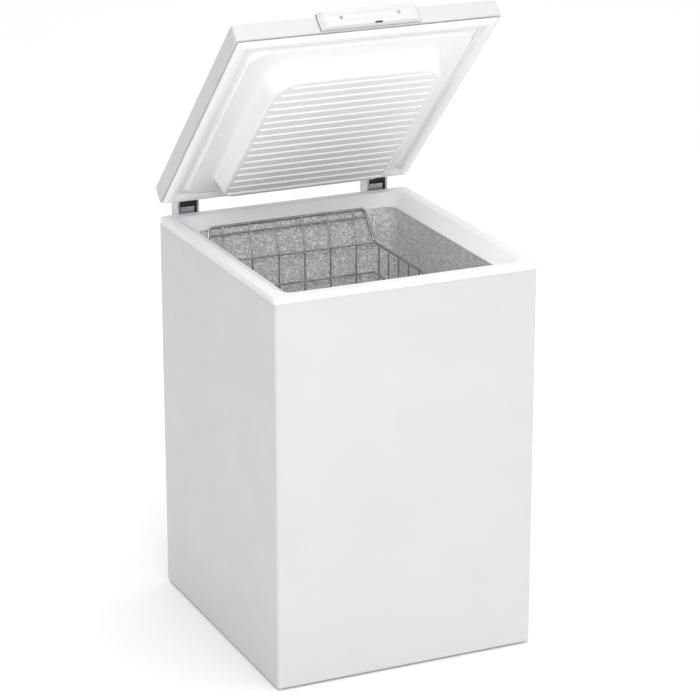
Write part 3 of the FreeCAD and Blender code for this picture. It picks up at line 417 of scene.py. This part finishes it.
# ---------------------------------------------------------------- collar
def collar():
    """Flat ledge with a fine crease, a slope down to the well, and a tongue inside the wrap.

    Each row of the outline: how far inside the collar's edge, height, and radius of its corners.
    """
    low = WRAP_TOP + 0.6
    tilt = math.atan2(DROP, WALL - LEDGE)
    outer_r = 2.4
    outline = [(0.0, low, 12), (0.0, RIM_TOP - outer_r, 12)]
    for a in quarter(5, 1):
        t = outer_r * (1 - math.cos(a))
        outline.append((t, RIM_TOP - outer_r + outer_r * math.sin(a), 12 - t))
    crease = RIM_TOP - 0.7
    outline += [(6.0, RIM_TOP, 15), (14.0, RIM_TOP, 22), (14.7, crease, 23), (15.6, crease, 24),
                (16.3, RIM_TOP, 25)]

    # The bend from the ledge into the slope.
    crest_r = 10.0
    start = LEDGE - crest_r * math.tan(tilt / 2)
    for i in range(7):
        a = tilt * i / 6
        outline.append((start + crest_r * math.sin(a), RIM_TOP - crest_r * (1 - math.cos(a)), 30))

    # The slope, then the round edge over the well.
    edge_r = 3.4
    edge_t, edge_z = WALL - edge_r, OPEN_Z - edge_r * math.tan((math.pi / 2 - tilt) / 2)
    t0, z0 = outline[-1][0], outline[-1][1]
    t1, z1 = edge_t + edge_r * math.sin(tilt), edge_z + edge_r * math.cos(tilt)
    for i in range(1, 4):
        u = i / 4
        outline.append((t0 + (t1 - t0) * u, z0 + (z1 - z0) * u, 30 - 9 * u))
    for i in range(7):
        a = tilt + (math.pi / 2 - tilt) * i / 6
        outline.append((edge_t + edge_r * math.sin(a), edge_z + edge_r * math.cos(a), 20))

    # The lip inside the well, the underside, and the tongue.
    lip_t, lip_z = WALL - 2.4, OPEN_Z - 3.0
    under, tongue = RIM_TOP - 2.6, low - 7.0
    outline += [(WALL, lip_z, 20), (lip_t, lip_z, 22), (lip_t, OPEN_Z - 1.8, 22),
                (LEDGE - 0.6, under, 30), (7.5, under, 8), (7.5, tongue, 6), (5.0, tongue, 6), (5.0, low, 6)]
    rows = []
    for t, z, r in outline:
        back = t if t <= LEDGE else LEDGE + (t - LEDGE) * (WALL_BACK - LEDGE) / (WALL - LEDGE)
        rows.append(ring((t, t, t, back), z, (r, r)))
    verts, faces = skin_rings(rows, closed_loop=True)
    piece = mesh_piece("collar", verts, faces, "cabinet", COLLAR, ["collar_frame"])
    weighted(piece)


# ---------------------------------------------------------------- lid
def step_rows():
    """Profile of the lid's inner liner from its rim to the top of the second step.

    Each row: inset on the left, right, front and back; height from the lid's lower edge, negative below it;
    radii of the front and the back corners.
    """
    rim, foot_r, shoulder_r = -1.0, 1.6, 4.6
    rows = [((6,) * 4, rim, (10, 10)), ((37,) * 4, rim, (14, 12))]
    for a in quarter(4):
        d = 38.4 + foot_r * math.sin(a)
        rows.append(((d,) * 4, rim - foot_r * (1 - math.cos(a)), (36, 16)))
    for a in quarter(5):
        d = 41.0 + shoulder_r * (1 - math.cos(a))
        rows.append(((d,) * 4, -(STEP1_H - shoulder_r) - shoulder_r * math.sin(a), (41, 20)))

    # The second step: a hollow bend at its foot, then a round shoulder. Its walls lean inwards.
    s, f, b = STEP2_SIDE, STEP2_FRONT, STEP2_BACK
    bend_r, top_r = 5.0, 8.0
    rows.append(((s - 8, s - 8, f - 9, b - 8), -STEP1_H, (50, 30)))
    for a in quarter(5):
        d = bend_r * math.sin(a)
        rows.append(((s - bend_r + d, s - bend_r + d, f - bend_r + d, b - bend_r + d),
                     -STEP1_H - bend_r * (1 - math.cos(a)), (54, 32)))
    for a in quarter(7):
        d = top_r * (1 - math.cos(a))
        rows.append(((s + 8 + d, s + 8 + d, f + 9 + d, b + 2 + d * 0.7),
                     -(STEP2_H - top_r) - top_r * math.sin(a), (56, 28)))
    return rows


def lid_lining():
    """The lid's moulded liner with its two steps."""
    rings = [ring(inset, LID_Z + z, r, 12, lid_point) for inset, z, r in step_rows()]
    verts, faces = skin_rings(rings, cap=True)
    piece = mesh_piece("lid_inner_liner", verts, faces, "lid", LINING, ["lid_liner"])
    weighted(piece)


def lid_ribs():
    """Low round ribs across the liner's second step. The first two are shorter, as its corners are round."""
    verts, faces = [], []
    count, first = 17, STEP2_FRONT + 30.0
    pitch = (LB - LF - STEP2_BACK - 18.0 - first) / (count - 1)
    half_w, high, n = 4.2, 2.9, 8
    shorter = (24.0, 8.0)
    for k in range(count):
        y = LF + first + k * pitch
        x_end = LX - STEP2_SIDE - 22.0 - (shorter[k] if k < len(shorter) else 0.0)
        base = len(verts)
        stations = [(-x_end - 4.0, 0.0), (-x_end - 2.6, 0.6), (-x_end, 1.0),
                    (x_end, 1.0), (x_end + 2.6, 0.6), (x_end + 4.0, 0.0)]
        for x, grow in stations:
            w = half_w * (0.55 + 0.45 * grow)
            for i in range(n + 1):
                a = math.pi * i / n
                z = -STEP2_H - high * grow * math.sin(a) ** 1.3 + 0.25
                verts.append(lid_point(x, y - w * math.cos(a), LID_Z + z))
        for s in range(len(stations) - 1):
            for i in range(n):
                a0 = base + s * (n + 1) + i
                faces.append((a0, a0 + 1, a0 + n + 2, a0 + n + 1))
    ribs = mesh_piece("lid_liner_ribs", verts, faces, "lid", LINING)
    weighted(ribs)


def lid_seal():
    """Soft seal with mitred corners: one broad round bead, then a flat fin that reaches the liner's step."""
    top, low = LID_Z - 1.2, RIM_TOP + 0.4
    shoulder = top - 1.6
    mid, wide, deep = 18.0, 12.4, top - low - 1.6
    profile = [(4.6, top), (4.6, shoulder)]
    for degrees in range(180, 361, 15):
        a = math.radians(degrees)
        profile.append((mid + wide * math.cos(a), shoulder + deep * math.sin(a)))
    profile += [(32.4, top - 1.8), (36.6, top - 1.2), (36.6, top)]
    rings = [ring((t,) * 4, z, (2.0, 2.0), 3, lid_point) for t, z in profile]
    verts, faces = skin_rings(rings, closed_loop=True)
    piece = mesh_piece("lid_seal", verts, faces, "lid", SEAL, ["lid_gasket"])
    weighted(piece)


# ---------------------------------------------------------------- handle
def slab(lo, hi):
    """Points and faces of a block of the shut lid, placed on the open lid."""
    verts = [lid_point(x, y, z) for z in (lo[2], hi[2]) for y in (lo[1], hi[1]) for x in (lo[0], hi[0])]
    faces = [(0, 2, 3, 1), (4, 5, 7, 6), (0, 1, 5, 4), (2, 6, 7, 3), (0, 4, 6, 2), (1, 3, 7, 5)]
    return verts, faces


def well(x, y0, y1, z, r, n=20):
    """Points and faces of a round hole bored into the lid from the front."""
    turn = [(r * math.cos(2 * math.pi * i / n), r * math.sin(2 * math.pi * i / n)) for i in range(n)]
    verts = [lid_point(x + a, y, z + b) for y in (y0, y1) for a, b in turn]
    faces = [(i, n + i, n + (i + 1) % n, (i + 1) % n) for i in range(n)]
    return verts, faces + [tuple(range(n)), tuple(range(n, 2 * n))[::-1]]


def carve(piece, holes):
    """Cut closed shapes out of a piece and keep only the result."""
    tools = []
    for verts, faces in holes:
        tool = add_object("hole", mesh_mm("hole", verts, faces))
        mod = piece.modifiers.new("hole", "BOOLEAN")
        mod.object = tool
        mod.solver = "EXACT"
        tools.append(tool)
    ready = piece.evaluated_get(bpy.context.evaluated_depsgraph_get())
    result = bpy.data.meshes.new_from_object(ready)
    piece.modifiers.clear()
    piece.data = result
    for tool in tools:
        bpy.data.objects.remove(tool)


def handle():
    """Moulded grip: rounded upper ridge, hollow channel, pull lip below, ends cut on a slant.

    Each row of the profile: distance from the lid's front, negative before it, and height.
    Each station along the grip: x, and how much of the profile's depth it has.
    """
    low, high = LID_Z + 0.5, LID_TOP + 3.5
    profile = [(0.1, low + 2.0), (-4.0, low + 0.7), (-10.0, low), (-14.4, low + 0.8), (-16.1, low + 2.8),
               (-16.5, low + 6.0), (-16.0, low + 8.8), (-14.2, low + 11.8), (-12.5, low + 14.4),
               (-12.0, low + 17.4), (-12.0, high - 14.0), (-12.5, high - 11.4), (-14.0, high - 8.8),
               (-15.3, high - 6.4), (-15.4, high - 3.6), (-14.0, high - 1.2), (-11.0, high), (-5.0, high),
               (0.1, high - 0.3)]
    half = 107.0
    slant = [(half, 0.18), (half - 2.5, 0.42), (half - 6.0, 0.72), (half - 10.5, 0.95), (half - 14.0, 1.0)]
    stations = [(-x, grow) for x, grow in slant] + slant[::-1]
    verts, faces = [], []
    n = len(profile)
    for x, grow in stations:
        verts += [lid_point(x, LF + (py * grow if py < 0 else py), pz) for py, pz in profile]
    for s in range(len(stations) - 1):
        for i in range(n):
            a, b = s * n + i, s * n + (i + 1) % n
            faces.append((a, a + n, b + n, b))
    faces.append(tuple(range(n))[::-1])
    faces.append(tuple((len(stations) - 1) * n + i for i in range(n)))
    piece = mesh_piece("grip", verts, faces, "lid", HANDLE, ["lid_handle"])

    # A slot in the pull lip, and two recesses for the screws.
    slot_left, slot_right = 4.0, 20.0
    screw_x, screw_z, recess_r = 61.0, LID_Z + 22.0, 4.3
    ahead, slot_end, recess_end = LF - 18.0, LF - 13.6, LF - 9.4
    holes = [slab((slot_left, ahead, low - 1.0), (slot_right, slot_end, low + 4.0))]
    holes += [well(x, ahead, recess_end, screw_z, recess_r) for x in (-screw_x, screw_x)]
    carve(piece, holes)
    weighted(piece)
    # A black block at the back of the slot: painted shade inside the slot, not a real part.
    verts, faces = slab((slot_left, LF - 15.4, low + 0.9), (slot_right, slot_end, low + 3.9))
    mesh_piece("lock_slot_shade", verts, faces, "lid", DARK, smooth=False)


# ---------------------------------------------------------------- hinges
def hinge_spring(side):
    """Round-wire spring under a plunger, built at one length. The real one gets shorter as the lid shuts."""
    node = "hinge_spring_" + side
    lo, hi = node_box(node)
    wire, turns, around, n = 1.1, 9, 24, 8
    cx, cy, r = (lo.x + hi.x) / 2, (lo.y + hi.y) / 2, (hi.x - lo.x) / 2 - wire
    total = turns * around
    verts, faces = [], []
    for i in range(total + 1):
        a = 2 * math.pi * i / around
        z = lo.z + wire + (hi.z - lo.z - 2 * wire) * i / total
        for k in range(n):
            b = 2 * math.pi * k / n
            out = r + wire * math.cos(b)
            verts.append((cx + out * math.cos(a), cy + out * math.sin(a), z + wire * math.sin(b)))
    for i in range(total):
        for k in range(n):
            j = (k + 1) % n
            faces.append((i * n + k, i * n + j, i * n + n + j, i * n + n + k))
    faces += [tuple(range(n))[::-1], tuple(total * n + k for k in range(n))]
    piece = mesh_piece("spring_" + side, verts, faces, "cabinet", BRIGHT, [node])
    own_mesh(piece)


collar()
lid_lining()
lid_ribs()
lid_seal()
handle()
hinge_spring("left")
hinge_spring("right")


# ---------------------------------------------------------------- studio
def floor():
    """Pale matt floor that reaches far behind the object."""
    size = 30.0
    pale, paler = (0.965,) * 3, (0.98,) * 3
    mesh = bpy.data.meshes.new("floor")
    mesh.from_pydata([(-size, -size, 0), (size, -size, 0), (size, size, 0), (-size, size, 0)], [],
                     [(0, 1, 2, 3)])
    obj = add_object("floor", mesh)
    m, tree, shader = new_material("floor_paint")
    col = ramp(tree, noise(tree, coords(tree), 0.6, 3.0), "Fac", [(0.3, pale), (0.7, paler)])
    link(tree, col, "Color", shader, "Base Color")
    shader.inputs["Roughness"].default_value = 0.9
    shader.inputs["Specular IOR Level"].default_value = 0.1
    mesh.materials.append(m)


def sky():
    """Faintly blue light from all round, stronger from above and from the right."""
    tint, slope, level, least = (0.975, 0.988, 1.0, 1.0), (0.34, -0.03, 0.60), 0.5, 0.2
    world = bpy.data.worlds.new("studio")
    bpy.context.scene.world = world
    world.use_nodes = True
    tree = world.node_tree
    back = tree.nodes["Background"]
    back.inputs["Color"].default_value = tint
    way = add(tree, "ShaderNodeTexCoord")
    rise = add(tree, "ShaderNodeVectorMath", operation="DOT_PRODUCT")
    rise.inputs[1].default_value = slope
    link(tree, way, "Generated", rise, 0)
    raised = add(tree, "ShaderNodeMath", operation="ADD")
    raised.inputs[1].default_value = level
    link(tree, rise, "Value", raised, 0)
    strength = add(tree, "ShaderNodeMath", operation="MAXIMUM")
    strength.inputs[1].default_value = least
    link(tree, raised, "Value", strength, 0)
    link(tree, strength, "Value", back, "Strength")


def area_light(name, place, aim, size, power, colour=(1, 1, 1), spread=180.0):
    """Soft box at a place, facing a point. The camera does not see it."""
    data = bpy.data.lights.new(name, "AREA")
    data.shape = "RECTANGLE"
    data.size, data.size_y = size
    data.energy = power
    data.spread = math.radians(spread)
    data.color = colour
    obj = add_object(name, data)
    obj.location = place
    obj.visible_camera = False
    obj.rotation_mode = "QUATERNION"
    obj.rotation_quaternion = (Vector(aim) - Vector(place)).to_track_quat("-Z", "Y")


def lights():
    """A warm key from the front left, a low fill, a wide box overhead and a very soft sun straight down."""
    area_light("key", (-1.6, -3.6, 2.9), (0.0, 0.0, 0.9), (2.6, 1.7), 12.0, (1.0, 0.99, 0.975), 70.0)
    area_light("low_fill", (-0.5, -4.0, 0.4), (0.0, 0.0, 0.95), (1.6, 0.8), 1.5, spread=70.0)
    area_light("top", (0.3, -1.6, 4.3), (0.0, -0.8, 0.0), (4.0, 3.2), 12.0)
    data = bpy.data.lights.new("overhead", "SUN")
    data.energy = 0.38
    data.angle = math.radians(50.0)
    obj = add_object("overhead", data)
    obj.location = (0.0, 0.0, 4.0)


def camera():
    """The photo's view: from the front left and above, through a long lens."""
    pitch, heading = 18.9, -24.4  # degrees below level, degrees from straight ahead
    data = bpy.data.cameras.new("camera")
    data.sensor_width = 36.0
    data.lens = 148.4
    data.clip_end = 100.0
    obj = add_object("camera", data)
    obj.location = (-2.291, -5.099, 2.488)
    obj.rotation_euler = (math.radians(90.0 - pitch), 0.0, math.radians(heading))
    bpy.context.scene.camera = obj


floor()
bpy.context.scene.view_settings.view_transform = "Standard"
sky()
lights()
camera()
